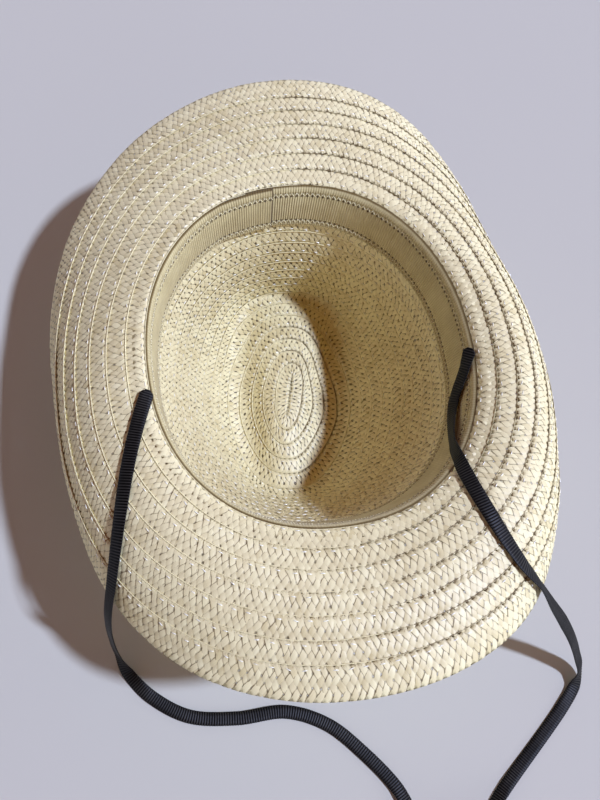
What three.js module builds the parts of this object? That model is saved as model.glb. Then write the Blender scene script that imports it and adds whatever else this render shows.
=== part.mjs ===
// A straw cowboy hat, resting crown down, in millimetres. +Z points up out of its opening, and -Y is the
// hat's front. The origin is on the surface it rests on, under the middle of the hat's own box.
import * as THREE from "three";
import { mergeVertices } from "three/addons/utils/BufferGeometryUtils.js";

// The straw wall: the braid sewn up in overlapping rounds.
const wall = 2;
const segments = 64;

// The opening, a slightly square oval, and where its middle is.
const opening = { halfWidth: 86.2, halfLength: 98.5, square: 0.918, x: 6.3, y: -0.6, height: 107 };
// The rounded corner where the crown's wall turns into the brim.
const corner = { radius: 3, steps: 2 };

// The brim is seven rounds of braid wide, the last of them showing its full width.
const brim = { rounds: 6, pitch: 10.6, edgeRound: 16.7, ringSpacing: 8 };
const brimWidth = brim.rounds * brim.pitch + brim.edgeRound;

// A row for each direction round the brim, from the hat's side at +X over its back to the front: how much
// the opening's rim rises there, and the brim's slope in degrees at its root and at its edge.
const brimSections = [
  { turn: 0, rim: -3.3, root: 33, edge: -125 },
  { turn: 22.5, rim: -2.7, root: 19.5, edge: -110 },
  { turn: 45, rim: -0.6, root: 11, edge: -59 },
  { turn: 67.5, rim: 1.8, root: 8.5, edge: -20 },
  { turn: 90, rim: 2.7, root: 4.5, edge: -9.5 },
  { turn: 112.5, rim: 1.7, root: -4.5, edge: -17 },
  { turn: 135, rim: -0.8, root: -12.5, edge: -34 },
  { turn: 157.5, rim: -3.2, root: -10, edge: -58.5 },
  { turn: 180, rim: -4.1, root: 2.5, edge: -82 },
  { turn: 202.5, rim: -2.7, root: 16, edge: -85.5 },
  { turn: 225, rim: 0.3, root: 20.5, edge: -63 },
  { turn: 247.5, rim: 3.3, root: 18.5, edge: -33.5 },
  { turn: 270, rim: 4.7, root: 19, edge: -20 },
  { turn: 292.5, rim: 3.7, root: 28.5, edge: -35.5 },
  { turn: 315, rim: 1.1, root: 40, edge: -78 },
  { turn: 337.5, rim: -1.8, root: 42, edge: -118 },
];

// A row for each ring of the crown, from the opening down to the ridge it rests on and up again over the
// dent in its tip. x and y are the ring's middle from the opening's, height is above the resting surface,
// wide and long are its reach each way, point narrows its front and widens its back, square below 1
// squares its oval, twist turns it in degrees, and ends is how far its front and back are raised. The two
// rings of the ridge are low enough for the straw under them to be pressed flat.
const crownRings = [
  { x: -0.2, y: 0.1, height: 104, wide: 85.6, long: 97.9, point: 0, square: 0.92, twist: 0, ends: 0 },
  { x: -3, y: 2, height: 76.5, wide: 80, long: 90.6, point: 0, square: 0.93, twist: -1, ends: 0 },
  { x: -2.5, y: 4, height: 59, wide: 73.5, long: 84.5, point: 0.04, square: 0.93, twist: -3, ends: 0 },
  { x: -2.5, y: 8, height: 40, wide: 64.5, long: 78.5, point: 0.08, square: 0.9, twist: -5, ends: 0 },
  { x: -3, y: 12, height: 22, wide: 53, long: 74, point: 0.13, square: 0.86, twist: -7, ends: 2 },
  { x: -3.5, y: 15, height: 9.5, wide: 43, long: 71, point: 0.18, square: 0.8, twist: -8, ends: 4 },
  { x: -4, y: 18, height: 1.7, wide: 34.5, long: 67, point: 0.24, square: 0.72, twist: -9, ends: 6 },
  { x: -4.5, y: 18, height: 1.6, wide: 28.5, long: 61, point: 0.25, square: 0.7, twist: -9.5, ends: 6.5 },
  { x: -5, y: 17, height: 5, wide: 21.5, long: 50, point: 0.22, square: 0.75, twist: -10, ends: 4.5 },
  { x: -5.5, y: 14, height: 10.5, wide: 13.5, long: 35, point: 0.15, square: 0.85, twist: -12, ends: 1 },
  { x: -4.5, y: 11, height: 13, wide: 6.5, long: 19, point: 0, square: 1, twist: -16, ends: 0 },
];
const tip = { x: -3.5, y: 9.5, height: 13.6 };
// Between these heights the crown takes on more and more of the rim's rise and fall.
const rimShare = { from: 25, to: 100 };

// The sweatband: a ribbed tape sewn inside the rim, its end lapped over its start at the back.
const band = { width: 26, thickness: 1, gap: 0.4, below: 0.5, start: 90, lap: 13, liftEnd: 26, steps: 76 };

// The chin strap: a flat ribbon, one whole loop from the rim on the hat's left, over the brim and down to
// the resting surface, round in front of the hat, and back up over the brim to the rim on its right. Each
// row is a point of its middle line and the way its flat face looks there.
const strap = { width: 7.5, thickness: 1, chamfer: 0.25, steps: 78 };
const strapRoute = [
  { at: [-80.8, -14.5, 104.2], facing: [0.25, 0, 1] },
  { at: [-86.8, -31, 106.1], facing: [0, 0.1, 1] },
  { at: [-92.9, -50.5, 107], facing: [-0.22, 0.05, 1] },
  { at: [-98, -70.2, 105.9], facing: [-0.38, 0, 0.9] },
  { at: [-102.6, -88.4, 101.6], facing: [-0.55, -0.1, 0.8] },
  { at: [-107.5, -105.4, 92.3], facing: [-0.75, -0.3, 0.6] },
  { at: [-111.6, -116.4, 80], facing: [-0.9, -0.4, 0.3] },
  { at: [-114.5, -122.2, 60], facing: [-0.9, -0.4, 0.1] },
  { at: [-116.4, -126.8, 32], facing: [-0.9, -0.5, 0] },
  { at: [-116.4, -131.4, 11], facing: [-0.8, -0.6, 0.2] },
  { at: [-112.9, -140.3, 2.8], facing: [-0.3, -0.3, 0.9] },
  { at: [-102.2, -154, 0.9], facing: [0, 0, 1] },
  { at: [-82.2, -168, 0.9], facing: [0, 0, 1] },
  { at: [-56.2, -173.3, 0.9], facing: [0, 0, 1] },
  { at: [-28.2, -174.3, 0.9], facing: [0, 0, 1] },
  { at: [-6.2, -184.7, 0.9], facing: [0, 0, 1] },
  { at: [11.8, -203.3, 0.9], facing: [0, 0, 1] },
  { at: [24.8, -221, 1.3], facing: [0.1, -0.1, 1] },
  { at: [31.3, -235, 2.9], facing: [0.6, -0.2, 0.8] },
  { at: [37.8, -248.5, 4.4], facing: [0.8, 0.6, 0] },
  { at: [50.3, -256.8, 4.3], facing: [0, 1, 0] },
  { at: [63.8, -250.5, 4.5], facing: [-0.5, 0.9, 0] },
  { at: [74.8, -240.5, 3.3], facing: [-0.6, 0.6, 0.8] },
  { at: [86.8, -230.5, 1.6], facing: [-0.1, 0.1, 1] },
  { at: [127.8, -197.4, 0.9], facing: [0, 0, 1] },
  { at: [138.8, -186.5, 1.8], facing: [0.2, -0.1, 1] },
  { at: [142, -178.8, 7.5], facing: [0.8, -0.6, 0.5] },
  { at: [137.4, -171.3, 21], facing: [0.8, -0.6, 0.4] },
  { at: [126.8, -163, 46], facing: [0.8, -0.6, 0.5] },
  { at: [114.8, -155.3, 70], facing: [0.75, -0.6, 0.55] },
  { at: [102.3, -147.6, 92.5], facing: [0.7, -0.55, 0.6] },
  { at: [94.3, -139.5, 105], facing: [0.55, -0.45, 0.75] },
  { at: [83.6, -128, 115.7], facing: [0.33, -0.28, 0.9] },
  { at: [73.7, -107, 120.2], facing: [0, 0, 1] },
  { at: [68, -83, 114.9], facing: [-0.3, 0.35, 0.9] },
  { at: [67.7, -72.3, 109.5], facing: [-0.6, 0.5, 0.6] },
  { at: [70.1, -60.2, 98.9], facing: [-0.75, 0.55, 0.4] },
  { at: [78.2, -37.5, 90.5], facing: [-0.9, 0.3, 0.35] },
  { at: [85.9, -21.4, 99.8], facing: [-0.75, 0.15, 0.6] },
  { at: [89.8, -12.5, 105.6], facing: [-0.4, 0, 0.9] },
];

const toRadians = THREE.MathUtils.degToRad;

// A column of the brim's table at any turn, on a smooth closed curve through its rows.
function brimValue(column, turn) {
  const rows = brimSections.length;
  const place = ((((turn % 360) + 360) % 360) / 360) * rows;
  const row = Math.floor(place);
  const [a, b, c, d] = [-1, 0, 1, 2].map((step) => brimSections[(row + step + rows) % rows][column]);
  const t = place - row;
  return b + 0.5 * t * (c - a + t * (2 * a - 5 * b + 4 * c - d + t * (3 * (b - c) + d - a)));
}

// A point of an oval, with its sides squared off by a power below 1.
function oval(turn, halfWidth, halfLength, square) {
  const c = Math.cos(toRadians(turn));
  const s = Math.sin(toRadians(turn));
  return new THREE.Vector2(
    halfWidth * Math.sign(c) * Math.abs(c) ** square,
    halfLength * Math.sign(s) * Math.abs(s) ** square,
  );
}

// The opening's rim, and the level direction that points away from it.
function rimPoint(turn) {
  const p = oval(turn, opening.halfWidth, opening.halfLength, opening.square);
  return new THREE.Vector3(p.x, p.y, opening.height + brimValue("rim", turn));
}

function rimOutward(turn) {
  const step = 2;
  const along = rimPoint(turn + step).sub(rimPoint(turn - step));
  return new THREE.Vector3(along.y, -along.x, 0).normalize();
}

// The brim's visible face at a distance from the rim: its slope turns evenly from root to edge.
function brimPoint(turn, distance) {
  const out = rimOutward(turn);
  const root = toRadians(brimValue("root", turn));
  const bend = toRadians(brimValue("edge", turn)) - root;
  const slope = root + (bend * distance) / brimWidth;
  const perBend = Math.abs(bend) < 1e-6 ? 0 : brimWidth / bend;
  const level = perBend ? perBend * (Math.sin(slope) - Math.sin(root)) : distance * Math.cos(root);
  const rise = perBend ? perBend * (Math.cos(root) - Math.cos(slope)) : distance * Math.sin(root);
  return rimPoint(turn).addScaledVector(out, level).add(new THREE.Vector3(0, 0, rise));
}

function crownPoint(row, turn) {
  const s = Math.sin(toRadians(turn));
  const p = oval(turn, row.wide * (1 + row.point * s), row.long, row.square);
  p.rotateAround(new THREE.Vector2(), toRadians(row.twist));
  const share = THREE.MathUtils.smoothstep(row.height, rimShare.from, rimShare.to);
  const height = row.height + row.ends * s ** 4 + share * brimValue("rim", turn);
  return new THREE.Vector3(p.x + row.x, p.y + row.y, height);
}

// The rounded corner between the crown's wall and the brim.
function cornerPoint(turn, share) {
  const below = crownPoint(crownRings[0], turn);
  const beyond = brimPoint(turn, corner.radius);
  const curve = new THREE.QuadraticBezierCurve3(below, rimPoint(turn), beyond);
  return curve.getPoint(share);
}

// The visible face of the straw as rings of points, from the brim's edge over the corner to the tip.
function strawRings() {
  const brimRings = Math.round((brimWidth - corner.radius) / brim.ringSpacing);
  const makers = [];
  for (let i = brimRings; i >= 0; i -= 1) {
    const distance = corner.radius + ((brimWidth - corner.radius) * i) / brimRings;
    makers.push((turn) => brimPoint(turn, distance));
  }
  for (let i = corner.steps - 1; i > 0; i -= 1) {
    makers.push((turn) => cornerPoint(turn, i / corner.steps));
  }
  crownRings.forEach((row) => makers.push((turn) => crownPoint(row, turn)));
  return makers.map((make) =>
    Array.from({ length: segments }, (_, i) => make((i * 360) / segments)),
  );
}

// The other face: each point moved back by the wall, square to the visible face, and never below the
// surface that the hat rests on, where the straw is pressed flat.
function outerRings(rings) {
  const apex = new THREE.Vector3(tip.x, tip.y, tip.height);
  return rings.map((ring, k) =>
    ring.map((point, i) => {
      const along = ring[(i + 1) % segments].clone().sub(ring[(i + segments - 1) % segments]);
      const outer = (rings[k - 1] ?? ring)[i];
      const inner = rings[k + 1] ? rings[k + 1][i] : apex;
      const facing = along.cross(inner.clone().sub(outer)).normalize();
      const moved = point.clone().addScaledVector(facing, -wall);
      moved.z = Math.max(0, moved.z);
      return moved;
    }),
  );
}

// A closed solid from rings of equal length: consecutive rings are joined, and each end is a fan.
function ringSolid(rings, poles) {
  const count = rings[0].length;
  const points = [...rings.flat(), ...poles];
  const faces = [];
  for (let k = 0; k + 1 < rings.length; k += 1) {
    for (let i = 0; i < count; i += 1) {
      const j = (i + 1) % count;
      const [a, b, c, d] = [k * count + i, k * count + j, (k + 1) * count + j, (k + 1) * count + i];
      faces.push([a, c, b], [a, d, c]);
    }
  }
  const last = (rings.length - 1) * count;
  for (let i = 0; i < count; i += 1) {
    const j = (i + 1) % count;
    faces.push([i, j, rings.length * count], [last + j, last + i, rings.length * count + 1]);
  }
  const geometry = new THREE.BufferGeometry();
  geometry.setAttribute("position", new THREE.Float32BufferAttribute(points.flatMap((p) => p.toArray()), 3));
  geometry.setIndex(faces.flat());
  return geometry;
}

// The whole of crown and brim is one sewn spiral, so it is one solid: the visible face from the tip out to
// the brim's edge, and the other face back to the tip.
function strawBody() {
  const visible = strawRings();
  const hidden = outerRings(visible);
  const apex = new THREE.Vector3(tip.x, tip.y, tip.height);
  const geometry = ringSolid(
    [...visible.reverse(), ...hidden],
    [apex, apex.clone().sub(new THREE.Vector3(0, 0, wall))],
  );
  return geometry.translate(opening.x, opening.y, 0);
}

// The band's section at a turn counted from its start: it follows the wall from just under the rim, and
// its first stretch is lifted over the end that lies beneath it.
function bandSection(turn) {
  const lifted = 1 - THREE.MathUtils.smoothstep(turn, band.lap, band.liftEnd);
  const lift = lifted * (band.thickness + band.gap);
  const direction = band.start + turn;
  const top = cornerPoint(direction, 0);
  const foot = crownPoint(crownRings[1], direction);
  const along = foot.clone().sub(top);
  const down = along.clone().normalize();
  const inward = rimOutward(direction).negate();
  const facing = inward.addScaledVector(down, -inward.dot(down)).normalize();
  const upper = top.clone().addScaledVector(down, -band.below);
  const lower = upper.clone().addScaledVector(down, band.width);
  const near = band.gap + lift;
  const far = near + band.thickness;
  return [
    upper.clone().addScaledVector(facing, near),
    upper.clone().addScaledVector(facing, far),
    lower.clone().addScaledVector(facing, far),
    lower.clone().addScaledVector(facing, near),
  ];
}

function sweatband() {
  const rings = [];
  for (let i = 0; i <= band.steps; i += 1) {
    rings.push(bandSection(((360 + band.lap) * i) / band.steps));
  }
  const middle = (ring) => ring.reduce((sum, p) => sum.add(p), new THREE.Vector3()).divideScalar(4);
  const geometry = ringSolid(rings, [middle(rings[0]), middle(rings.at(-1))]);
  return geometry.translate(opening.x, opening.y, 0);
}

// The ribbon's middle line. Its frames hold the flat face the way that the route says, not the way that a
// curve would turn it by itself.
class RibbonLine extends THREE.CatmullRomCurve3 {
  constructor(route) {
    super(route.map((row) => new THREE.Vector3(...row.at)), false, "centripetal");
    const facings = route.map((row) => new THREE.Vector3(...row.facing).normalize());
    this.facings = new THREE.CatmullRomCurve3(facings);
  }

  computeFrenetFrames(steps) {
    const frames = { tangents: [], normals: [], binormals: [] };
    for (let i = 0; i <= steps; i += 1) {
      const t = this.getUtoTmapping(i / steps);
      const tangent = this.getTangent(t);
      const facing = this.facings.getPoint(t);
      facing.addScaledVector(tangent, -facing.dot(tangent)).normalize();
      frames.tangents.push(tangent);
      frames.normals.push(facing);
      frames.binormals.push(tangent.clone().cross(facing));
    }
    return frames;
  }
}

function chinStrap() {
  const [x, y, c] = [strap.thickness / 2, strap.width / 2, strap.chamfer];
  const section = new THREE.Shape([
    new THREE.Vector2(-x, c - y),
    new THREE.Vector2(c - x, -y),
    new THREE.Vector2(x - c, -y),
    new THREE.Vector2(x, c - y),
    new THREE.Vector2(x, y - c),
    new THREE.Vector2(x - c, y),
    new THREE.Vector2(c - x, y),
    new THREE.Vector2(-x, y - c),
  ]);
  return new THREE.ExtrudeGeometry(section, { steps: strap.steps, extrudePath: new RibbonLine(strapRoute) });
}

function piece(name, geometry, colour, roughness) {
  const closed = mergeVertices(geometry.deleteAttribute("normal").deleteAttribute("uv"));
  closed.computeVertexNormals();
  const material = new THREE.MeshStandardMaterial({ color: colour, roughness, metalness: 0 });
  const mesh = new THREE.Mesh(closed, material);
  mesh.name = name;
  return mesh;
}

const hat = new THREE.Group();
hat.add(piece("straw_body", strawBody(), 0xdfd5b4, 0.75));
hat.add(piece("sweatband", sweatband(), 0xc2b183, 0.9));
hat.add(piece("chin_strap", chinStrap(), 0x18181b, 0.7));

export default hat;
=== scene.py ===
# A straw cowboy hat resting crown down on a pale floor: sewn straw braid, a ribbed sweatband, a black ribbon.
import math

import bmesh
import bpy
import numpy as np
from mathutils import Matrix, Vector


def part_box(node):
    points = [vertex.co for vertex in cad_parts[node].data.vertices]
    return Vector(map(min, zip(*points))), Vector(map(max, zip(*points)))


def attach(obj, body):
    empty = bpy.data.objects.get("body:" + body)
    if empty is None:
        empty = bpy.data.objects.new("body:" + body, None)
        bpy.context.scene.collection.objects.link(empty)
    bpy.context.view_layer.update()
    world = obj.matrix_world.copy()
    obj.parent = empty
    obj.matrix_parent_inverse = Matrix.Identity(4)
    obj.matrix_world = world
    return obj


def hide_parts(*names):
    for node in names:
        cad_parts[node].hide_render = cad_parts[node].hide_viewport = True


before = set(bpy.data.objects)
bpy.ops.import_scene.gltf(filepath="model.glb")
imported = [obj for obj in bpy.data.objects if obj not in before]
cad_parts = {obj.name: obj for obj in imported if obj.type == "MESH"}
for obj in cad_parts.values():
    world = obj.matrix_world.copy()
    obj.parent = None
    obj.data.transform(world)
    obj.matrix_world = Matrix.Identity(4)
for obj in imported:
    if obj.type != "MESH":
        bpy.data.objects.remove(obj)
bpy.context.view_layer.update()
scene = bpy.context.scene
mm = 0.001
print("frame loaded")


# camera

camera = {
    "place": (-0.0604, -0.1856, 0.4994),
    "right": (0.9844, -0.1590, 0.0753),
    "up": (0.1193, 0.9179, 0.3784),
    "lens": 37.67,
}


def makeCamera():
    data = bpy.data.cameras.new("camera")
    data.sensor_width = 36
    data.lens = camera["lens"]
    seen = bpy.data.objects.new("camera", data)
    right = Vector(camera["right"]).normalized()
    back = right.cross(Vector(camera["up"])).normalized()
    turn = Matrix((right, back.cross(right), back)).transposed().to_4x4()
    seen.matrix_world = Matrix.Translation(camera["place"]) @ turn
    scene.collection.objects.link(seen)
    scene.camera = seen


makeCamera()


# shapes shared by the pieces

def openTube(columns, corners):
    # a tube along x from 0 to 1, made of a grid whose two long edges are brought together
    bm = bmesh.new()
    bmesh.ops.create_grid(bm, x_segments=columns, y_segments=corners, size=0.5)
    for v in bm.verts:
        turn = (v.co.y + 0.5) * math.tau
        v.co = (v.co.x + 0.5, math.cos(turn), math.sin(turn))
    bmesh.ops.remove_doubles(bm, verts=bm.verts, dist=1e-5)
    return bm


def tubePlaces(bm, columns, corners):
    # the column and the corner of each vertex of an open tube
    place = np.array([v.co for v in bm.verts])
    column = np.rint(place[:, 0] * columns).astype(int)
    corner = np.rint(np.arctan2(place[:, 2], place[:, 1]) / math.tau * corners).astype(int) % corners
    return column, corner


def diamond(corner):
    # how far to the side and up the corners of a four-cornered tube stand, from -1 to 1
    return np.array([1, 0, -1, 0])[corner], np.array([0, 1, 0, -1])[corner]


def moveTo(bm, places):
    for v, place in zip(bm.verts, places):
        v.co = place


def keepValues(bm, name, values):
    # a value at each vertex, which a material reads by its name
    layer = bm.verts.layers.float.new(name)
    for v, value in zip(bm.verts, values):
        v[layer] = value


def toMesh(bm, name):
    mesh = bpy.data.meshes.new(name)
    bm.to_mesh(mesh)
    bm.free()
    return mesh


def joinMesh(bm, mesh):
    bm.from_mesh(mesh)
    bpy.data.meshes.remove(mesh)


def unit(vectors):
    return vectors / np.linalg.norm(vectors, axis=-1, keepdims=True)


def lengthsAlong(points):
    steps = np.linalg.norm(np.diff(points, axis=0), axis=1)
    return np.concatenate([[0], np.cumsum(steps)])


def readAlong(places, along, rows):
    # the rows' values at the places, between the ones that they have along a line
    return np.array([np.interp(places, along, rows[:, i]) for i in range(3)]).T


def ramped(values, start, end):
    # 0 up to the start and 1 past the end, whichever of them is the lower
    return np.clip((values - start) / (end - start), 0, 1)


def finishPiece(name, bm, material, node):
    bmesh.ops.recalc_face_normals(bm, faces=bm.faces)
    for face in bm.faces:
        face.smooth = True
    mesh = toMesh(bm, name)
    mesh.materials.append(material)
    piece = bpy.data.objects.new(name, mesh)
    scene.collection.objects.link(piece)
    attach(piece, "root")
    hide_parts(node)
    return piece


# material steps shared by the pieces

white = (1, 1, 1)


def grey(level):
    return level, level, level


def startMaterial(name, roughness):
    material = bpy.data.materials.new(name)
    material.use_nodes = True
    tree = material.node_tree
    shader = tree.nodes["Principled BSDF"]
    shader.inputs["Roughness"].default_value = roughness
    return material, tree, shader


def objectPlace(tree):
    return tree.nodes.new("ShaderNodeTexCoord").outputs["Object"]


def readAttribute(tree, name):
    node = tree.nodes.new("ShaderNodeAttribute")
    node.attribute_name = name
    return node.outputs["Fac"]


def addNoise(tree, vector, scale, detail):
    noise = tree.nodes.new("ShaderNodeTexNoise")
    noise.inputs["Scale"].default_value = scale
    noise.inputs["Detail"].default_value = detail
    tree.links.new(vector, noise.inputs["Vector"])
    return noise.outputs["Fac"]


def addRamp(tree, source, stops):
    ramp = tree.nodes.new("ShaderNodeValToRGB")
    while len(ramp.color_ramp.elements) < len(stops):
        ramp.color_ramp.elements.new(0.5)
    for element, (place, colour) in zip(ramp.color_ramp.elements, stops):
        element.position = place
        element.color = (*colour, 1)
    tree.links.new(source, ramp.inputs["Fac"])
    return ramp.outputs["Color"]


def addMath(tree, operation, first, second=0):
    node = tree.nodes.new("ShaderNodeMath")
    node.operation = operation
    for socket, value in zip(node.inputs, (first, second)):
        if isinstance(value, (int, float)):
            socket.default_value = value
        else:
            tree.links.new(value, socket)
    return node.outputs["Value"]


def addFar(tree, x, y):
    # the distance from a middle, from how far it is each way
    squares = [addMath(tree, "MULTIPLY", part, part) for part in (x, y)]
    return addMath(tree, "SQRT", addMath(tree, "ADD", *squares))


def addTint(tree, amount, colour, tint):
    # the colour multiplied by the tint, as far as the amount says
    node = tree.nodes.new("ShaderNodeMix")
    node.data_type = "RGBA"
    node.blend_type = "MULTIPLY"
    if isinstance(amount, float):
        node.inputs["Factor"].default_value = amount
    else:
        tree.links.new(amount, node.inputs["Factor"])
    tree.links.new(colour, node.inputs["A"])
    tree.links.new(tint, node.inputs["B"])
    return node.outputs["Result"]


def addSplit(tree, vector, axis):
    split = tree.nodes.new("ShaderNodeSeparateXYZ")
    tree.links.new(vector, split.inputs["Vector"])
    return split.outputs[axis]


def addBump(tree, shader, height, strength, distance):
    bump = tree.nodes.new("ShaderNodeBump")
    bump.inputs["Strength"].default_value = strength
    bump.inputs["Distance"].default_value = distance
    tree.links.new(height, bump.inputs["Height"])
    tree.links.new(bump.outputs["Normal"], shader.inputs["Normal"])


# chin ribbon: black ribbed ribbon, one whole loop from the rim on the hat's left to the rim on its right

ribbon = {
    "width": 7.5 * mm,
    "rib": 1.4 * mm,
    "perRib": 4,
    "crest": 0.46 * mm,
    "valley": 0.2 * mm,
    "scallop": 0.16 * mm,
    "endRound": 3.4 * mm,
    "endCut": 0.9,  # where the rounding starts, so that the very end isn't a point
    "steps": 24,
    "colours": [(0.3, (0.0016, 0.0015, 0.0012)), (0.75, (0.0035, 0.0032, 0.0026))],
    # painted light: the rib crests painted lighter as highlights, the grooves darker as shade
    "ribPaintedLight": [(0.45, grey(0.3)), (0.95, grey(16))],
}

# the section's corners, as shares of the half width and of the rib's height
ribbonSection = np.array([
    (-1, 0), (-0.9, 0.9), (-0.35, 1), (0.35, 1), (0.9, 0.9),
    (1, 0), (0.9, -0.9), (0.35, -1), (-0.35, -1), (-0.9, -0.9),
])

# each row is a point of the ribbon's middle line and the way its flat face looks there
ribbonRoute = [
    ((-0.0808, -0.0145, 0.1042), (0.25, 0, 1)),
    ((-0.0868, -0.0310, 0.1061), (0, 0.1, 1)),
    ((-0.0929, -0.0505, 0.1070), (-0.22, 0.05, 1)),
    ((-0.0980, -0.0702, 0.1059), (-0.38, 0, 0.9)),
    ((-0.1026, -0.0884, 0.1016), (-0.55, -0.1, 0.8)),
    ((-0.1075, -0.1054, 0.0923), (-0.75, -0.3, 0.6)),
    ((-0.1116, -0.1164, 0.0800), (-0.9, -0.4, 0.3)),
    ((-0.1145, -0.1222, 0.0600), (-0.9, -0.4, 0.1)),
    ((-0.1164, -0.1268, 0.0320), (-0.9, -0.5, 0)),
    ((-0.1164, -0.1314, 0.0110), (-0.8, -0.6, 0.2)),
    ((-0.1129, -0.1403, 0.0028), (-0.3, -0.3, 0.9)),
    ((-0.1022, -0.1540, 0.0009), (0, 0, 1)),
    ((-0.0822, -0.1680, 0.0009), (0, 0, 1)),
    ((-0.0562, -0.1733, 0.0009), (0, 0, 1)),
    ((-0.0282, -0.1743, 0.0009), (0, 0, 1)),
    ((-0.0062, -0.1847, 0.0009), (0, 0, 1)),
    ((0.0118, -0.2033, 0.0009), (0, 0, 1)),
    ((0.0248, -0.2210, 0.0013), (0.1, -0.1, 1)),
    ((0.0313, -0.2350, 0.0029), (0.6, -0.2, 0.8)),
    ((0.0378, -0.2485, 0.0044), (0.8, 0.6, 0)),
    ((0.0503, -0.2568, 0.0043), (0, 1, 0)),
    ((0.0638, -0.2505, 0.0045), (-0.5, 0.9, 0)),
    ((0.0748, -0.2405, 0.0033), (-0.6, 0.6, 0.8)),
    ((0.0868, -0.2305, 0.0016), (-0.1, 0.1, 1)),
    ((0.1278, -0.1974, 0.0009), (0, 0, 1)),
    ((0.1388, -0.1865, 0.0018), (0.2, -0.1, 1)),
    ((0.1420, -0.1788, 0.0075), (0.8, -0.6, 0.5)),
    ((0.1374, -0.1713, 0.0210), (0.8, -0.6, 0.4)),
    ((0.1268, -0.1630, 0.0460), (0.8, -0.6, 0.5)),
    ((0.1148, -0.1553, 0.0700), (0.75, -0.6, 0.55)),
    ((0.1023, -0.1476, 0.0925), (0.765, -0.195, 0.609)),
    ((0.0943, -0.1395, 0.1050), (0.826, 0.142, 0.547)),
    ((0.0836, -0.1280, 0.1157), (0.475, -0.106, 0.873)),
    ((0.0737, -0.1070, 0.1202), (0, 0, 1)),
    ((0.0680, -0.0830, 0.1149), (-0.4, 0.4, 0.8)),
    ((0.0677, -0.0723, 0.1095), (-0.8, 0.5, 0.35)),
    ((0.0701, -0.0602, 0.0989), (-0.95, 0.35, 0.1)),
    ((0.0782, -0.0375, 0.0905), (-0.8, 0.15, 0.6)),
    ((0.0859, -0.0214, 0.0998), (-0.75, 0.15, 0.6)),
    ((0.0898, -0.0125, 0.1056), (-0.4, 0, 0.9)),
]


def throughPoints(points, steps):
    # a smooth curve through the points, its bends held close where they lie close together
    rows = np.vstack([2 * points[0] - points[1], points, 2 * points[-1] - points[-2]])
    t = (np.arange(steps) / steps)[:, None]
    spans = []
    for a, b, c, d in zip(rows, rows[1:], rows[2:], rows[3:]):
        ab, bc, cd = (np.linalg.norm(q - p) ** 0.5 for p, q in ((a, b), (b, c), (c, d)))
        leave = bc * ((b - a) / ab - (c - a) / (ab + bc) + (c - b) / bc)
        arrive = bc * ((c - b) / bc - (d - b) / (bc + cd) + (d - c) / cd)
        rest = b + t * leave + t**2 * (3 * (c - b) - 2 * leave - arrive)
        spans.append(rest + t**3 * (2 * (b - c) + leave + arrive))
    return np.vstack([*spans, points[-1:]])


def ribbonLine():
    points = np.array([at for at, facing in ribbonRoute])
    facings = unit(np.array([facing for at, facing in ribbonRoute], float))
    line = throughPoints(points, ribbon["steps"])
    shares = np.linspace(0, len(points) - 1, len(line))
    return line, readAlong(shares, np.arange(len(points)), facings)


def ribbonFrame(line, looks, columns):
    # at each column the middle of the ribbon, the way that its flat face looks and the way across it
    along = lengthsAlong(line)
    places = np.linspace(0, along[-1], columns + 1)
    middle = readAlong(places, along, line)
    face = readAlong(places, along, looks)
    onward = unit(np.gradient(middle, axis=0))
    face = unit(face - onward * (face * onward).sum(axis=1, keepdims=True))
    return middle, face, np.cross(onward, face)


def makeRibbon():
    line, looks = ribbonLine()
    length = float(lengthsAlong(line)[-1])
    columns = round(length / ribbon["rib"]) * ribbon["perRib"]
    middle, face, side = ribbonFrame(line, looks, columns)
    bm = openTube(columns, len(ribbonSection))
    column, corner = tubePlaces(bm, columns, len(ribbonSection))
    # 1 on each rib, 0 between two of them
    rise = 0.5 + 0.5 * np.cos(column * math.tau / ribbon["perRib"])
    height = (ribbon["valley"] + (ribbon["crest"] - ribbon["valley"]) * rise) * ribbonSection[corner, 1]
    fromEnd = np.minimum(column, columns - column) / columns * length
    rounded = np.sqrt(1 - np.clip(1 - fromEnd / ribbon["endRound"], 0, ribbon["endCut"]) ** 2)
    reach = (ribbon["width"] / 2 - ribbon["scallop"] * (1 - rise)) * rounded * ribbonSection[corner, 0]
    moveTo(bm, middle[column] + side[column] * reach[:, None] + face[column] * height[:, None])
    keepValues(bm, "crest", rise)
    bmesh.ops.holes_fill(bm, edges=bm.edges, sides=len(ribbonSection))
    piece = finishPiece("chin_strap_ribbon", bm, ribbonMaterial(), "chin_strap")
    print("ribbon", round(length, 4), "m long")


def ribbonMaterial():
    material, tree, shader = startMaterial("black_ribbon", 0.42)
    place = objectPlace(tree)
    colour = addRamp(tree, addNoise(tree, place, 90, 3), ribbon["colours"])
    # painted highlight on each rib's crest and painted shade between the ribs
    ribs = addRamp(tree, readAttribute(tree, "crest"), ribbon["ribPaintedLight"])
    tree.links.new(addTint(tree, 1.0, colour, ribs), shader.inputs["Base Color"])
    shader.inputs["Specular IOR Level"].default_value = 0.14
    addBump(tree, shader, addNoise(tree, place, 4200, 2), 0.35, 0.0001)
    return material


makeRibbon()


# the straw's surface, from the frame: smooth columns from the tip's fold line to the brim's edge

surface = {
    "columns": 512,
    "perRound": 16,
    "crownRounds": 18,
    "brimPitch": 10.6 * mm,
    "cornerReach": 3 * mm,
    "ringSpacing": 7.73 * mm,
    "crownRings": 12,
    "brimRings": 11,
    "poleEdges": 60,
    "foldShare": 14 / 19,
    "foldHeight": 13.4 * mm,
}


def nextInRing(vertex, layer, used):
    return next(e.other_vert(vertex) for e in vertex.link_edges
                if e.other_vert(vertex) in layer and e.other_vert(vertex) not in used)


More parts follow.
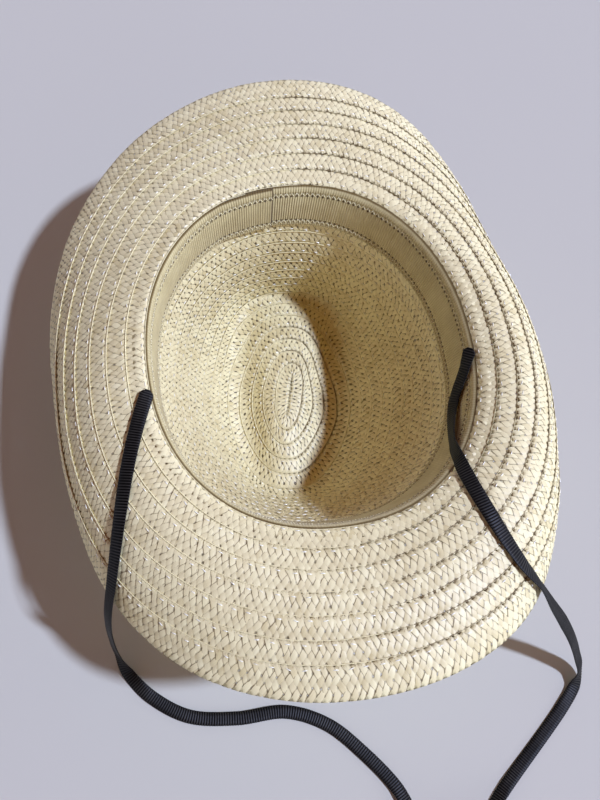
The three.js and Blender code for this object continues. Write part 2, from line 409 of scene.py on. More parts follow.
def readRings(node, count):
    # the node's rings of vertices from the tip outwards, each starting in the same column
    bm = bmesh.new()
    bm.from_mesh(node.data)
    bmesh.ops.remove_doubles(bm, verts=bm.verts, dist=1e-6)
    poles = [v for v in bm.verts if len(v.link_edges) >= surface["poleEdges"]]
    apex = max(poles, key=lambda v: v.co.z)
    near = {v: {e.other_vert(v) for e in v.link_edges} for v in bm.verts}
    layer, seen, rings = near[apex], {apex}, []
    for number in range(count):
        if not rings:
            first = max(layer, key=lambda v: v.co.x)
            second = max(near[first] & layer, key=lambda v: v.co.y)
        else:
            # both of the last ring's first two vertices touch the next ring's second one
            shared = near[rings[-1][0]] & near[rings[-1][1]] & layer
            first = next(iter((near[rings[-1][0]] & layer) - shared))
            second = next(iter(shared))
        ring = [first, second]
        while len(ring) < len(layer):
            ring.append(nextInRing(ring[-1], layer, set(ring)))
        rings.append(ring)
        seen |= layer
        layer = set().union(*(near[v] for v in layer)) - seen
    places = np.array([[v.co[:] for v in ring] for ring in rings])
    bm.free()
    return places


def cubicThrough(knots, values, places):
    # a cubic through each knot, with the slope of its neighbours
    slopes = np.gradient(values, knots, axis=0)
    at = np.clip(np.searchsorted(knots, places, side="right") - 1, 0, len(knots) - 2)
    gap = (knots[at + 1] - knots[at])[:, None]
    t = (places - knots[at])[:, None] / gap
    stay = values[at] * (1 + 2 * t) * (1 - t) ** 2 + slopes[at] * gap * t * (1 - t) ** 2
    go = values[at + 1] * (3 - 2 * t) * t**2 + slopes[at + 1] * gap * t**2 * (t - 1)
    return stay + go


def closedThrough(ring, places):
    # the same round a closed ring, with places counted in its points
    count = len(ring)
    at = np.floor(places).astype(int)
    t = (places - at)[:, None]
    a, b, c, d = (ring[(at + i) % count] for i in (-1, 0, 1, 2))
    return b + 0.5 * t * (c - a + t * (2 * a - 5 * b + 4 * c - d + t * (3 * (b - c) + d - a)))


def foldLine(tipRing):
    # the line that the tip's dent folds along, one point for each of the ring's columns
    centre = tipRing.mean(axis=0)
    longAxis = unit(tipRing[np.argmax(np.linalg.norm(tipRing - centre, axis=1))] - centre)
    line = centre + np.outer((tipRing - centre) @ longAxis, longAxis) * surface["foldShare"]
    line[:, 2] = surface["foldHeight"]
    return line


def makeSurface():
    rings = readRings(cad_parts["straw_body"], surface["crownRings"] + surface["brimRings"])
    columns = np.concatenate([foldLine(rings[0])[None], rings]).transpose(1, 0, 2)
    brimReach = surface["cornerReach"] + surface["ringSpacing"] * np.arange(surface["brimRings"])
    outer = surface["crownRounds"] + brimReach / surface["brimPitch"]
    rows = np.arange(0, outer[-1], 1 / surface["perRound"])
    smooth, crownReaches = [], []
    for column in columns:
        crown = lengthsAlong(column[: surface["crownRings"] + 1])
        inner = surface["crownRounds"] * crown / crown[-1]
        smooth.append(cubicThrough(np.concatenate([inner, outer]), column, rows))
        crownReaches.append(crown[-1])
    places = np.linspace(0, len(columns), surface["columns"], endpoint=False)
    table = np.array([closedThrough(ring, places) for ring in np.array(smooth).transpose(1, 0, 2)])
    outward = np.gradient(table, axis=0)
    wrapped = np.concatenate([table[:, -1:], table, table[:, :1]], axis=1)
    around = (wrapped[:, 2:] - wrapped[:, :-2]) / 2
    facing = np.cross(outward, around)
    # along the fold line itself the columns of both sides meet, so it looks the way the next row does
    facing[0] = facing[1]
    surface["crownPitch"] = float(np.mean(crownReaches) / surface["crownRounds"])
    surface["rim"] = surface["crownRounds"] * surface["crownPitch"]
    surface["table"] = table
    surface["facing"] = unit(facing)
    print("surface", table.shape, "crown pitch", round(surface["crownPitch"] / mm, 2), "mm")


def roundAt(reach):
    # the place in rounds at a distance out from the fold line
    return np.where(reach < surface["rim"], reach / surface["crownPitch"],
                    surface["crownRounds"] + (reach - surface["rim"]) / surface["brimPitch"])


def reachOf(number):
    if number < surface["crownRounds"]:
        return number * surface["crownPitch"]
    return surface["rim"] + (number - surface["crownRounds"]) * surface["brimPitch"]


def readTable(table, rows, columns):
    # the table's value between its rows, counted in rounds, and its columns
    row = np.clip(rows * surface["perRound"], 0, len(table) - 1.001)
    r = row.astype(int)
    c = np.floor(columns).astype(int)
    s = (row - r)[:, None]
    t = (columns - c)[:, None]
    c, d = c % surface["columns"], (c + 1) % surface["columns"]
    return ((table[r, c] * (1 - t) + table[r, d] * t) * (1 - s)
            + (table[r + 1, c] * (1 - t) + table[r + 1, d] * t) * s)


makeSurface()


# straw braid: five flattened straws plaited to a tape, sewn up in overlapping rounds

braid = {
    "width": 16.75 * mm,
    "straws": 5,
    "cycle": 18 * mm,
    "fill": 0.95,
    "thick": 0.38 * mm,
    "lift": 0.32 * mm,
    "top": -0.45 * mm,
    "colours": [
        (0.25, (0.66, 0.55, 0.26)),
        (0.45, (0.78, 0.68, 0.37)),
        (0.65, (0.85, 0.76, 0.42)),
        (0.85, (0.89, 0.82, 0.5)),
    ],
    # painted shade along the edges of the straws
    "paintedEdgeShade": (0.2, 0.15, 0.08),
    # painted shade in the holes where four straws meet, and the height in the crown where it fades
    "paintedPitShade": (0.07, 0.045, 0.015),
    "pitShadeTop": 100 * mm,
    "foldOver": 1.3 * mm,
    "seed": 11,
}

# how far each round's inner edge stands up from the round that it laps over
lap = {
    "tipRounds": 5,
    "tip": 0.55 * mm,
    "wall": 0.12 * mm,
    "wallBack": 0.5 * mm,
    "backY": (0.03, 0.06),
    "backX": (0.035, 0.005),
    "brim": 0.55 * mm,
    "frontShare": 0.35,
    "edgeShare": 0.75,
    "edgeFrom": 22,
    "frontY": (-0.15, -0.05),
}

# how far the straws stray from an even plait
stray = {
    "wander": 0.22 * mm,
    "wanderTurns": (3, 5, 8),
    "bunch": 0.4 * mm,
    "bunchLengths": (23 * mm, 13 * mm),
    "along": 0.26 * mm,
    "swell": 0.16 * mm,
    "sway": 0.07 * mm,
    "rise": 0.06 * mm,
}

# the line along each round's inner edge: a raised fold on the lit side, an open gap on the other, whose tube
# is painted dark as the step's shadow
fold = {
    "steps": 5,
    "wide": 0.75 * mm,
    "thick": 0.5 * mm,
    "inward": 0.3 * mm,
    "share": 0.9,
    "sink": 0.5 * mm,
    "tone": 0.75,
    "gapWide": 0.8,
    "gapOut": 0.2 * mm,
    "gapPaintedShadow": 0.94,
    "gapHigh": 0.1 * mm,
    "gapShare": 0.8,
    "tipX": (0.005, -0.025),
    "brimX": (0.02, -0.06),
}

# the rounds of each piece, counted from the tip's fold line
strawPieces = {
    "straw_tip": (0, 8),
    "straw_wall_lower": (8, 13),
    "straw_wall_upper": (13, 18),
    "straw_brim_inner": (18, 22),
    "straw_brim_outer": (22, 25),
}
roundCount = 25


def strawLevel(place):
    # the height along a straw as a share of its lift: up and down between its folds at the tape's edges
    step = braid["width"] / braid["straws"]
    fromFold = place - braid["width"] * np.rint(place / braid["width"])
    way = place % braid["width"]
    return np.where(np.abs(fromFold) < step, fromFold / step, -np.cos(math.pi * way / step))


def strawCycle():
    # one straw over a whole cycle: out across the tape, folded over its edge, back, and folded again
    # each ring of its tube lies along the straw that crosses it there, so what shows of it is a diamond
    width = braid["width"]
    step = width / braid["straws"]
    columns = 4 * braid["straws"]
    bm = openTube(columns, 4)
    column, corner = tubePlaces(bm, columns, 4)
    side, crown = diamond(corner)
    crown = crown * braid["thick"] / 2
    gone = column * step / 2
    reach = gone + side * braid["fill"] * step / 2
    along = (gone / width - side * braid["fill"] / (2 * braid["straws"])) * braid["cycle"] / 2
    across = np.abs(width - np.abs(width - np.abs(reach)))
    turn = math.pi * (sum(np.clip((reach - edge) / step + 0.5, 0, 1) for edge in (0, width, 2 * width)) - 1)
    nearFold = np.clip(1 - np.abs(gone - width * np.rint(gone / width)) / step, 0, 1)
    height = braid["lift"] * strawLevel(gone + (reach - gone) * nearFold)
    moveTo(bm, np.array([along, across + crown * np.sin(turn), height + crown * np.cos(turn)]).T)
    keepValues(bm, "run", gone)
    keepValues(bm, "edge", side * step / 2)
    keepValues(bm, "inset", np.minimum(across, width - across))
    # the straw's two edges stay sharp
    edge = bm.verts.layers.float["edge"]
    for e in bm.edges:
        a, b = e.verts
        if a[edge] == b[edge] and a[edge] != 0:
            e.smooth = False
    return toMesh(bm, "straw_cycle"), column, side


def arrayOf(mesh, count, step):
    # the mesh repeated along x as one joined mesh
    strip = bpy.data.objects.new("strip", mesh)
    scene.collection.objects.link(strip)
    copies = strip.modifiers.new("copies", "ARRAY")
    copies.count = count
    copies.use_relative_offset = False
    copies.use_constant_offset = True
    copies.constant_offset_displace = (step, 0, 0)
    seen = strip.evaluated_get(bpy.context.evaluated_depsgraph_get())
    made = bpy.data.meshes.new_from_object(seen)
    bpy.data.objects.remove(strip)
    return made


def readPlaces(mesh):
    places = np.empty(len(mesh.vertices) * 3)
    mesh.vertices.foreach_get("co", places)
    return places.reshape(-1, 3)


def toSides(places):
    # 0 at the front of the brim, 1 on its sides and back
    return ramped(places[:, 1], *lap["frontY"])


def lapDrop(number, places):
    # each round lies over the round inside it: loose on the tip and the brim's sides, close elsewhere
    if number < lap["tipRounds"]:
        return np.full(len(places), lap["tip"])
    if number < surface["crownRounds"]:
        back = ramped(places[:, 1], *lap["backY"]) * ramped(places[:, 0], *lap["backX"])
        return lap["wall"] + (lap["wallBack"] - lap["wall"]) * back
    least = lap["edgeShare"] if number >= lap["edgeFrom"] else lap["frontShare"]
    return lap["brim"] * (least + (1 - least) * toSides(places))


def arcsOfRound(number):
    # the lengths along the middle of the round's tape, column by column
    middle = roundAt(np.array([reachOf(number) + braid["width"] / 2]))[0]
    line = readTable(surface["table"], np.full(surface["columns"], middle), np.arange(surface["columns"]))
    return lengthsAlong(np.vstack([line, line[:1]]))


def layOnRound(number, along, across, height, wander):
    # places of a flat strip laid on the hat's round: along goes round from 0 to 1
    arcs = arcsOfRound(number)
    column = np.interp((along % 1) * arcs[-1], arcs, np.arange(surface["columns"] + 1))
    place = roundAt(np.maximum(reachOf(number) + across + wander, 0))
    base = readTable(surface["table"], place, column)
    pitch = surface["crownPitch"] if number < surface["crownRounds"] else surface["brimPitch"]
    lift = height + braid["top"] - lapDrop(number, base) / pitch * across
    at = base + readTable(surface["facing"], place, column) * lift[:, None]
    at[:, 2] = np.maximum(at[:, 2], 0)
    return at


def wave(starts, along, counts, size):
    # a smooth closed wander along a round
    total = np.zeros_like(along)
    for start, count in zip(starts, counts):
        total += np.sin(math.tau * (along * count + start))
    return size * total / len(counts)


def strayTable(random, stations, size):
    # a random wander along each straw of a round, which closes on itself
    table = random.normal(0, 1, (braid["straws"], stations))
    for i in range(2):
        table = (np.roll(table, 1, axis=1) + 2 * table + np.roll(table, -1, axis=1)) / 4
    return size * table / table.std()


def markStraws(strip, copy, count, random):
    # a shade for each straw, and how far along its straw each vertex is
    joints = 4 * braid["straws"]
    shades = random.random((braid["straws"], count // joints + 2))
    tone = strip.attributes.new("tone", "FLOAT", "POINT")
    tone.data.foreach_set("value", shades[copy % braid["straws"], copy // joints])
    run = strip.attributes["run"]
    gone = np.empty(len(copy))
    run.data.foreach_get("value", gone)
    run.data.foreach_set("value", gone + copy // braid["straws"] * 2 * braid["width"])


def braidRound(bm, cycle, number, random):
    mesh, column, side = cycle
    length = arcsOfRound(number)[-1]
    turns = max(2, round(length / braid["cycle"]))
    count = braid["straws"] * turns
    step = braid["cycle"] / braid["straws"]
    strip = arrayOf(mesh, count, step)
    flat = readPlaces(strip)
    copy = np.arange(len(flat)) // len(mesh.vertices)
    stations = turns * max(column)
    station = (copy // braid["straws"] * max(column) + np.tile(column, count)) % stations
    onward, swell, sway, rise = (strayTable(random, stations, stray[size])[copy % braid["straws"], station]
                                 for size in ("along", "swell", "sway", "rise"))
    along = flat[:, 0] / (step * count)
    starts = random.random(len(stray["wanderTurns"]))
    wander = wave(starts, along, stray["wanderTurns"], stray["wander"])
    bunches = [round(length / each) + i for i, each in enumerate(stray["bunchLengths"], 1)]
    bunch = wave(random.random(len(bunches)), along, bunches, stray["bunch"])
    along += (bunch + onward + swell * np.tile(side, count)) / length
    at = layOnRound(number, along, flat[:, 1] + sway, flat[:, 2] + rise, wander)
    strip.vertices.foreach_set("co", at.ravel())
    markStraws(strip, copy, count, random)
    joinMesh(bm, strip)
    addFold(bm, number, turns * fold["steps"], starts)


def litSide(number, places):
    # 1 on the hat's left, where the rounds' inner edges stand to the light, 0 where they turn from it
    if number < lap["tipRounds"]:
        return ramped(places[:, 0], *fold["tipX"])
    if number < surface["crownRounds"]:
        return np.ones(len(places))
    return ramped(places[:, 0], *fold["brimX"])


def addFold(bm, number, columns, starts):
    part = openTube(columns, 4)
    column, corner = tubePlaces(part, columns, 4)
    along = column / columns
    wander = wave(starts, along, stray["wanderTurns"], stray["wander"])
    side, crown = diamond(corner)
    flat = np.zeros(len(along))
    base = layOnRound(number, along, flat, flat, wander)
    drop = lapDrop(number, base)
    lit = litSide(number, base)
    # on the front of the brim the fold lies lower
    sunk = (number >= surface["crownRounds"]) * (1 - toSides(base))
    high = fold["share"] * drop - fold["sink"] * sunk
    low = fold["gapHigh"] - fold["gapShare"] * (lap["brim"] - drop)
    side = side * fold["wide"] / 2 * (lit + (1 - lit) * fold["gapWide"])
    inward = fold["inward"] * lit - fold["gapOut"] * (1 - lit)
    height = low + (high - low) * lit + crown * fold["thick"] / 2
    moveTo(part, layOnRound(number, along, inward + side, height, wander))
    keepValues(part, "tone", np.full(len(lit), fold["tone"]))
    # painted shadow: on the side turned from the light the gap's tube takes the straws' dark edge colour
    keepValues(part, "edge", (1 - lit) * fold["gapPaintedShadow"] * braid["width"] / braid["straws"] / 2)
    keepValues(part, "inset", (1 - lit) * braid["width"] / 2)
    joinMesh(bm, toMesh(part, "fold"))


def makeStraw():
    cycle = strawCycle()
    random = np.random.default_rng(braid["seed"])
    material = strawMaterial()
    for name, (first, past) in strawPieces.items():
        bm = bmesh.new()
        for number in range(first, past):
            braidRound(bm, cycle, number, random)
        bmesh.ops.remove_doubles(bm, verts=bm.verts, dist=1e-6)
        piece = finishPiece(name, bm, material, "straw_body")
        print(name, len(piece.data.polygons) * 2, "triangles")
    bpy.data.meshes.remove(cycle[0])


def addGrain(tree, edge, run, tone):
    # fine lines along each straw, other ones on each
    place = tree.nodes.new("ShaderNodeCombineXYZ")
    for socket, value in zip(place.inputs, (edge, addMath(tree, "MULTIPLY", run, 0.05), tone)):
        tree.links.new(value, socket)
    return addNoise(tree, place.outputs["Vector"], 3200, 2)


def strawColour(tree, place, tone, grain):
    # from straw to straw, from place to place on the hat, and along each straw
    shade = addMath(tree, "MULTIPLY", tone, 0.3)
    for source, weight in ((addNoise(tree, place, 70, 4), 0.45), (grain, 0.25)):
        shade = addMath(tree, "ADD", shade, addMath(tree, "MULTIPLY", source, weight))
    return addRamp(tree, shade, braid["colours"])


def addPaintedEdgeShade(tree, colour, place, across, inside):
    # painted shade: the edges of each straw are darkened where it meets its neighbours, one more than the
    # other and more in some places
    oneEdge = addRamp(tree, addMath(tree, "ADD", across, 0.5), [(0.3, grey(0.3)), (0.7, white)])
    paintedEdgeShade = addRamp(tree, addMath(tree, "ABSOLUTE", across), [(0.79, white), (0.95, braid["paintedEdgeShade"])])
    patchy = addRamp(tree, addNoise(tree, place, 260, 2), [(0.35, grey(0.3)), (0.6, white)])
    amount = addMath(tree, "MULTIPLY", addMath(tree, "MULTIPLY", patchy, inside), oneEdge)
    return addTint(tree, amount, colour, paintedEdgeShade)


def addPaintedPitShade(tree, colour, place, crossing, across, inside):
    # painted shade: a dark pit where four straws meet, darker low in the crown, where it lies in shade, than
    # on the brim
    fromMiddle = addMath(tree, "ABSOLUTE", addMath(tree, "SUBTRACT", addMath(tree, "FRACT", crossing), 0.5))
    fromEdge = addMath(tree, "SUBTRACT", 1, addMath(tree, "ABSOLUTE", across))
    far = addFar(tree, addMath(tree, "MULTIPLY", fromMiddle, 2), fromEdge)
    paintedPitShade = addRamp(tree, far, [(0.22, braid["paintedPitShade"]), (0.42, white)])
    height = addMath(tree, "DIVIDE", addSplit(tree, place, "Z"), braid["pitShadeTop"])
    deep = addRamp(tree, height, [(0.65, white), (0.85, grey(0.4))])
    return addTint(tree, addMath(tree, "MULTIPLY", inside, deep), colour, paintedPitShade)


def strawMaterial():
    material, tree, shader = startMaterial("straw", 0.5)
    place = objectPlace(tree)
    tone, edge, run, inset = (readAttribute(tree, name) for name in ("tone", "edge", "run", "inset"))
    # from -1 on one edge of a straw to 1 on the other, and along it counted in straws that cross it
    halfStep = braid["width"] / braid["straws"] / 2
    across = addMath(tree, "DIVIDE", edge, halfStep)
    crossing = addMath(tree, "DIVIDE", run, 2 * halfStep)
    # at the tape's edges, where the straws fold over, they get no painted edge shade and no painted pit shade
    inside = addRamp(tree, addMath(tree, "DIVIDE", inset, braid["foldOver"]), [(0.2, grey(0)), (1.0, white)])
    grain = addGrain(tree, edge, run, tone)
    colour = strawColour(tree, place, tone, grain)
    colour = addPaintedEdgeShade(tree, colour, place, across, inside)
    colour = addPaintedPitShade(tree, colour, place, crossing, across, inside)
    tree.links.new(colour, shader.inputs["Base Color"])
    addBump(tree, shader, grain, 0.4, 0.00008)
    return material


makeStraw()


# sewing thread: one clear stitch after another along the inner edge of each round, on both faces

thread = {
    "fromEdge": 2.2 * mm,
    "spacing": 7.4 * mm,
    "length": 3.1 * mm,
    "thick": 0.56 * mm,
    "above": 0.56 * mm,
    "askew": 0.12,
    "pulled": 0.35 * mm,
    "shift": 0.5 * mm,
    "colours": [(0.35, (0.93, 0.91, 0.72)), (0.65, (0.98, 0.97, 0.82))],
    "seed": 5,
}


def stitchShape():
    bm = bmesh.new()
    bmesh.ops.create_icosphere(bm, subdivisions=1, radius=0.5)
    bmesh.ops.scale(bm, verts=bm.verts, vec=(thread["length"], thread["thick"], thread["thick"]))
    return toMesh(bm, "stitch")


def sewRound(bm, shape, number, random):
    count = round(arcsOfRound(number)[-1] / thread["spacing"])
    strip = arrayOf(shape, count, thread["spacing"])
    flat = readPlaces(strip)
    copy = np.arange(len(flat)) // len(shape.vertices)
    # each stitch lies a little askew, and a few are pulled tight into the straw
    askew = random.normal(0, thread["askew"], count)[copy]
    above = thread["above"] - random.random(count)[copy] ** 3 * thread["pulled"]
    shift = random.normal(0, thread["shift"], count)[copy]
    fromMiddle = flat[:, 0] - copy * thread["spacing"]
    across = flat[:, 1] + askew * fromMiddle + thread["fromEdge"] + shift / 3
    along = (flat[:, 0] + shift) / (thread["spacing"] * count)
    still = np.zeros(len(flat))
    inside = layOnRound(number, along, across, flat[:, 2] + above, still)
    strip.vertices.foreach_set("co", inside.ravel())
    bm.from_mesh(strip)
    if number > 0:
        # the other face: the stitch comes out on the round that lies under this one
        under = reachOf(number) - reachOf(number - 1)
        outside = layOnRound(number - 1, along, across + under, flat[:, 2] - above, still)
        strip.vertices.foreach_set("co", outside.ravel())
        bm.from_mesh(strip)
    bpy.data.meshes.remove(strip)


def makeThread():
    shape = stitchShape()
    random = np.random.default_rng(thread["seed"])
    bm = bmesh.new()
    for number in range(roundCount):
        sewRound(bm, shape, number, random)
    piece = finishPiece("straw_thread", bm, threadMaterial(), "straw_body")
    bpy.data.meshes.remove(shape)
    print("thread", len(piece.data.polygons), "triangles")


def threadMaterial():
    material, tree, shader = startMaterial("clear_thread", 0.25)
    place = objectPlace(tree)
    colour = addRamp(tree, addNoise(tree, place, 300, 2), thread["colours"])
    tree.links.new(colour, shader.inputs["Base Color"])
    shader.inputs["Specular IOR Level"].default_value = 1.0
    shader.inputs["Coat Weight"].default_value = 1.0
    shader.inputs["Coat Roughness"].default_value = 0.15
    addBump(tree, shader, addNoise(tree, place, 2500, 1), 0.2, 0.0001)
    return material


makeThread()


# sweatband: a ribbed beige tape inside the rim, sewn along both edges with zigzag stitches

band = {
    "width": 26 * mm,
    "rib": 1.4 * mm,
    "perRib": 4,
    "ribDepth": 0.24,
    "endRound": 1.3 * mm,
    "endThin": 0.15,
    "lapBack": 6.4 * mm,
    "lip": 2.0 * mm,
    "lipFrom": 1.6 * mm,
    "paintedRibShadeTo": 60 * mm,
    "colours": [(0.3, (0.52, 0.43, 0.2)), (0.7, (0.62, 0.53, 0.26))],
    # painted shade in the ribs' grooves
    "paintedGrooveShade": (0.5, 0.44, 0.32),
    # painted shadow at the lapped end
    "endShadow": (0.22, 0.17, 0.09),
    "underBrim": (0.26, 0.2, 0.08),
}

# the zigzag rows; heights are shares of the tape's thickness
zigzag = {
    "step": 3.0 * mm,
    "rows": (2.5 * mm, 22.9 * mm),
    "reach": 2.3 * mm,
    "thick": 0.5 * mm,
    "level": 1.05,
    "rise": 0.25,
    "dive": 0.35,
    "hole": 1.0 * mm,
    # painted shade in the needle holes
    "holeShadeColour": (0.12, 0.09, 0.04),
    "colours": [(0.35, (0.8, 0.72, 0.42)), (0.65, (0.92, 0.86, 0.56))],
}

# the tape's section: how far down from the rim in mm, and its height as a share of its thickness
bandSection = np.array([
    (-1.45, 0.5), (-1.3, 1.0), (-0.5, 1.1), (1.6, 0.95), (2.4, 0.74), (4.8, 0.74), (5.5, 0.92), (13, 0.94),
    (22, 0.92), (22.8, 0.74), (25.3, 0.74), (25.9, 0.97), (26.7, 0.9), (26.9, 0.5), (26.6, 0.1), (-1.2, 0.1),
])
ribbedRows = slice(3, 12)  # of the section's corners, the ones that the ribs run over


def readBand(node):
    # the node's sections from end to end, each as its upper near, upper far, lower far and lower near corner
    bm = bmesh.new()
    bm.from_mesh(node.data)
    bmesh.ops.remove_doubles(bm, verts=bm.verts, dist=1e-6)
    # each end is closed by a fan of four edges
    ends = [v for v in bm.verts if len(v.link_edges) == 4]
    start = max(ends, key=lambda v: v.co.x)
    low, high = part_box("sweatband")
    middle = (low + high) / 2
    layer, seen, sections = {e.other_vert(start) for e in start.link_edges}, {start}, []
    while len(layer) == 4:
        upper = sorted(layer, key=lambda v: -v.co.z)[:2]
        lower = [v for v in layer if v not in upper]
        for pair in (upper, lower):
            pair.sort(key=lambda v: -(v.co - middle).xy.length)
        sections.append([upper[0].co[:], upper[1].co[:], lower[1].co[:], lower[0].co[:]])
        seen |= layer
        layer = {e.other_vert(v) for v in layer for e in v.link_edges} - seen
    bm.free()
    return np.array(sections)


def placeOnBand(sections, along, down, height):
    # along in metres from the lapped end, down in metres from the rim, height as a share of the tape
    arcs = lengthsAlong(sections.mean(axis=1))
    corners = [readAlong(along, arcs, sections[:, k]) for k in range(4)]
    share = (down / band["width"])[:, None]
    near = corners[0] * (1 - share) + corners[3] * share
    far = corners[1] * (1 - share) + corners[2] * share
    at = near + (far - near) * height[:, None]
    # the upper edge leans out over the rim
    lean = ramped(down, band["lipFrom"], bandSection[0, 0] * mm) ** 2
    at[:, :2] += unit(at[:, :2] - sections.mean(axis=(0, 1))[:2]) * (band["lip"] * lean)[:, None]
    return at


def makeBandTape(sections, length):
    columns = round(length / band["rib"]) * band["perRib"]
    corners = len(bandSection)
    bm = openTube(columns, corners)
    column, corner = tubePlaces(bm, columns, corners)
    along = band["lapBack"] + column / columns * (length - band["lapBack"])
    down, height = bandSection[corner].T
    ribbed = np.zeros(corners)
    ribbed[ribbedRows] = band["ribDepth"]
    height = height + ribbed[corner] * np.cos(column * math.tau / band["perRib"])
    # both ends are rounded off
    toEnd = np.clip(np.minimum(along - band["lapBack"], length - along) / band["endRound"], 0, 1)
    full = np.maximum(np.sqrt(1 - (1 - toEnd) ** 2), band["endThin"])
    moveTo(bm, placeOnBand(sections, along, down * mm, 0.5 + (height - 0.5) * full))
    keepValues(bm, "run", along)
    keepValues(bm, "down", down * mm)
    bmesh.ops.holes_fill(bm, edges=bm.edges, sides=corners)
    return finishPiece("sweatband_tape", bm, bandMaterial(length), "sweatband")


def makeBandStitches(sections, length):
    # a zigzag of thread in each row, a little above the tape
    bm = bmesh.new()
    columns = round(length / zigzag["step"]) * 4
    for row in zigzag["rows"]:
        part = openTube(columns, 4)
        column, corner = tubePlaces(part, columns, 4)
        side, crown = diamond(corner)
        along = band["lapBack"] + column / columns * (length - band["lapBack"])
        along = along + side * zigzag["thick"] / 2
        across = row + zigzag["reach"] * np.abs(column % 4 - 2) / 2
        height = zigzag["level"] + zigzag["rise"] * crown - zigzag["dive"] * (column % 2 == 0)
        moveTo(part, placeOnBand(sections, along, across, height))
        bmesh.ops.holes_fill(part, edges=part.edges, sides=4)
        joinMesh(bm, toMesh(part, "row"))
    return finishPiece("sweatband_stitches", bm, bandThreadMaterial(), "sweatband")


def makeSweatband():
    sections = readBand(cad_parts["sweatband"])
    length = float(lengthsAlong(sections.mean(axis=1))[-1])
    tape = makeBandTape(sections, length)
    stitches = makeBandStitches(sections, length)
    print("sweatband", round(length, 4), "m,", len(sections), "sections,",
          2 * len(tape.data.polygons) + 2 * len(stitches.data.polygons), "triangles")


def addPaintedRibShade(tree, colour, run, toEnd):
    # painted shade in the ribs' grooves: the ribs stand out near the lapped end, where the light rakes across
    # them, and less far from it
    rib = addMath(tree, "COSINE", addMath(tree, "MULTIPLY", run, math.tau / band["rib"]))
    rib = addMath(tree, "ADD", addMath(tree, "MULTIPLY", rib, 0.5), 0.5)
    paintedGrooveShade = addRamp(tree, rib, [(0.0, band["paintedGrooveShade"]), (0.5, white)])
    share = addMath(tree, "DIVIDE", toEnd, band["paintedRibShadeTo"])
    rakeShare = addRamp(tree, share, [(0.3, white), (1.0, grey(0.3))])
    return addTint(tree, rakeShare, colour, paintedGrooveShade)


def addPaintedHoleShade(tree, colour, fromEnd, down, step, start, strength):
    # painted shade: a row of dark needle holes, one at each point of the zigzag on one side
    turns = addMath(tree, "FRACT", addMath(tree, "ADD", addMath(tree, "DIVIDE", fromEnd, step), start))
    x = addMath(tree, "MULTIPLY", addMath(tree, "SUBTRACT", turns, 0.5), step)
    share = addMath(tree, "DIVIDE", addFar(tree, x, down), zigzag["hole"])
    return addTint(tree, strength, colour, addRamp(tree, share, [(0.35, zigzag["holeShadeColour"]), (1.0, white)]))


def bandMaterial(length):
    material, tree, shader = startMaterial("beige_tape", 0.85)
    place = objectPlace(tree)
    run, down = readAttribute(tree, "run"), readAttribute(tree, "down")
    fromEnd = addMath(tree, "SUBTRACT", run, band["lapBack"])
    toEnd = addMath(tree, "MINIMUM", fromEnd, addMath(tree, "SUBTRACT", length, run))
    colour = addPaintedRibShade(tree, addRamp(tree, addNoise(tree, place, 120, 3), band["colours"]), run, toEnd)
    # painted shadow: a dark line where the lapped end stops
    endShadow = addRamp(tree, addMath(tree, "DIVIDE", fromEnd, 1 * mm), [(0.4, band["endShadow"]), (0.8, white)])
    colour = addTint(tree, 1.0, colour, endShadow)
    # painted shade: the needle holes away from the tape's edges are the dark ones
    sewn = length - band["lapBack"]
    step = sewn / round(length / zigzag["step"])
    for row in zigzag["rows"]:
        for point, start in ((row, 0.5), (row + zigzag["reach"], 0.0)):
            pulled = (row < band["width"] / 2) == (point > row)
            fromPoint = addMath(tree, "SUBTRACT", down, point)
            colour = addPaintedHoleShade(tree, colour, fromEnd, fromPoint, step, start, 1.0 if pulled else 0.35)
    # the upper edge is in the brim's shade
    fromTop = addMath(tree, "SUBTRACT", down, float(bandSection[0, 0]) * mm)
    rim = addRamp(tree, addMath(tree, "DIVIDE", fromTop, 2 * mm), [(0.2, band["underBrim"]), (0.45, white)])
    tree.links.new(addTint(tree, 1.0, colour, rim), shader.inputs["Base Color"])
    addBump(tree, shader, addNoise(tree, place, 3800, 2), 0.5, 0.00012)
    shader.inputs["Sheen Weight"].default_value = 0.15
    return material


def bandThreadMaterial():
    material, tree, shader = startMaterial("band_thread", 0.6)
    place = objectPlace(tree)
    colour = addRamp(tree, addNoise(tree, place, 500, 2), zigzag["colours"])
    tree.links.new(colour, shader.inputs["Base Color"])
    addBump(tree, shader, addNoise(tree, place, 5000, 1), 0.4, 0.0001)
    return material


makeSweatband()


# light and floor

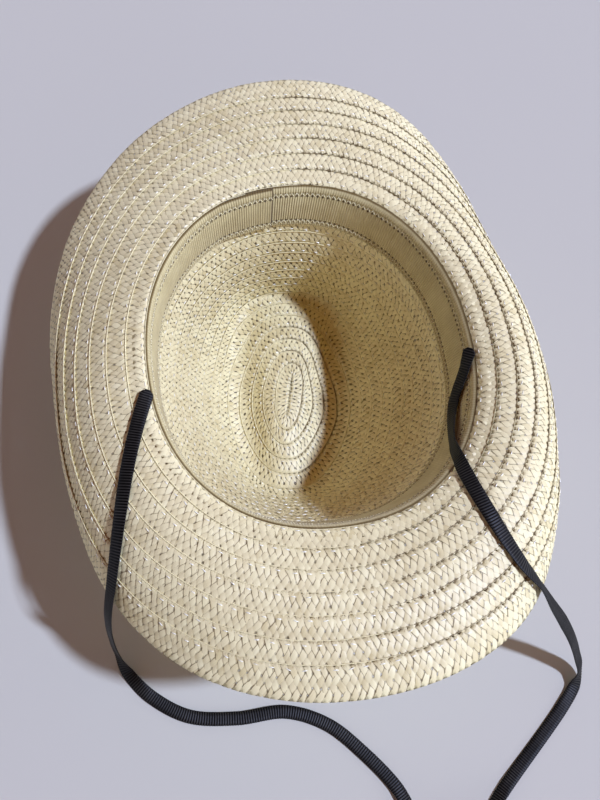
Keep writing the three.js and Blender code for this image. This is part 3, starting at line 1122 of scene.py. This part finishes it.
studio = {
    "toLight": (0.56, -0.2, 0.83),
    "sun": 3.0,
    "sunColour": (0.93, 1.09, 1.62),
    "softness": 4,
    # the room's light by height, and its share from the far side to the light's side
    "byHeight": [(0.1, (0.8, 0.9, 1.2)), (0.25, (1.42, 1.52, 1.88)), (0.45, (0.14, 0.03, 0.0))],
    "bySide": [(0.1, grey(0.6)), (0.9, grey(1.7))],
    "floorSize": 6,
    "floorColour": (0.51, 0.49, 0.4),
    "floorCloud": 0.97,
}


def makeSun():
    data = bpy.data.lights.new("window", "SUN")
    data.energy = studio["sun"]
    data.color = studio["sunColour"]
    data.angle = math.radians(studio["softness"])
    lamp = bpy.data.objects.new("window", data)
    lamp.rotation_euler = Vector(studio["toLight"]).to_track_quat("Z", "Y").to_euler()
    scene.collection.objects.link(lamp)


def makeRoom():
    # pale light all round under a dim warm one
    world = bpy.data.worlds.new("room")
    world.use_nodes = True
    tree = world.node_tree
    way = tree.nodes.new("ShaderNodeTexCoord").outputs["Generated"]
    colour = addRamp(tree, addSplit(tree, way, "Z"), studio["byHeight"])
    toSide = addMath(tree, "ADD", addMath(tree, "MULTIPLY", addSplit(tree, way, "X"), 0.5), 0.5)
    share = addRamp(tree, toSide, studio["bySide"])
    tree.links.new(addTint(tree, 1.0, colour, share), tree.nodes["Background"].inputs["Color"])
    scene.world = world


def makeFloor():
    bm = bmesh.new()
    bmesh.ops.create_grid(bm, x_segments=1, y_segments=1, size=studio["floorSize"] / 2)
    mesh = toMesh(bm, "floor")
    mesh.materials.append(floorMaterial())
    floor = bpy.data.objects.new("floor", mesh)
    scene.collection.objects.link(floor)


def floorMaterial():
    material, tree, shader = startMaterial("floor", 0.8)
    low = tuple(studio["floorCloud"] * c for c in studio["floorColour"])
    cloud = addNoise(tree, objectPlace(tree), 2, 2)
    colour = addRamp(tree, cloud, [(0.3, low), (0.7, studio["floorColour"])])
    tree.links.new(colour, shader.inputs["Base Color"])
    return material


scene.view_settings.view_transform = "Standard"
makeSun()
makeRoom()
makeFloor()
print("studio")
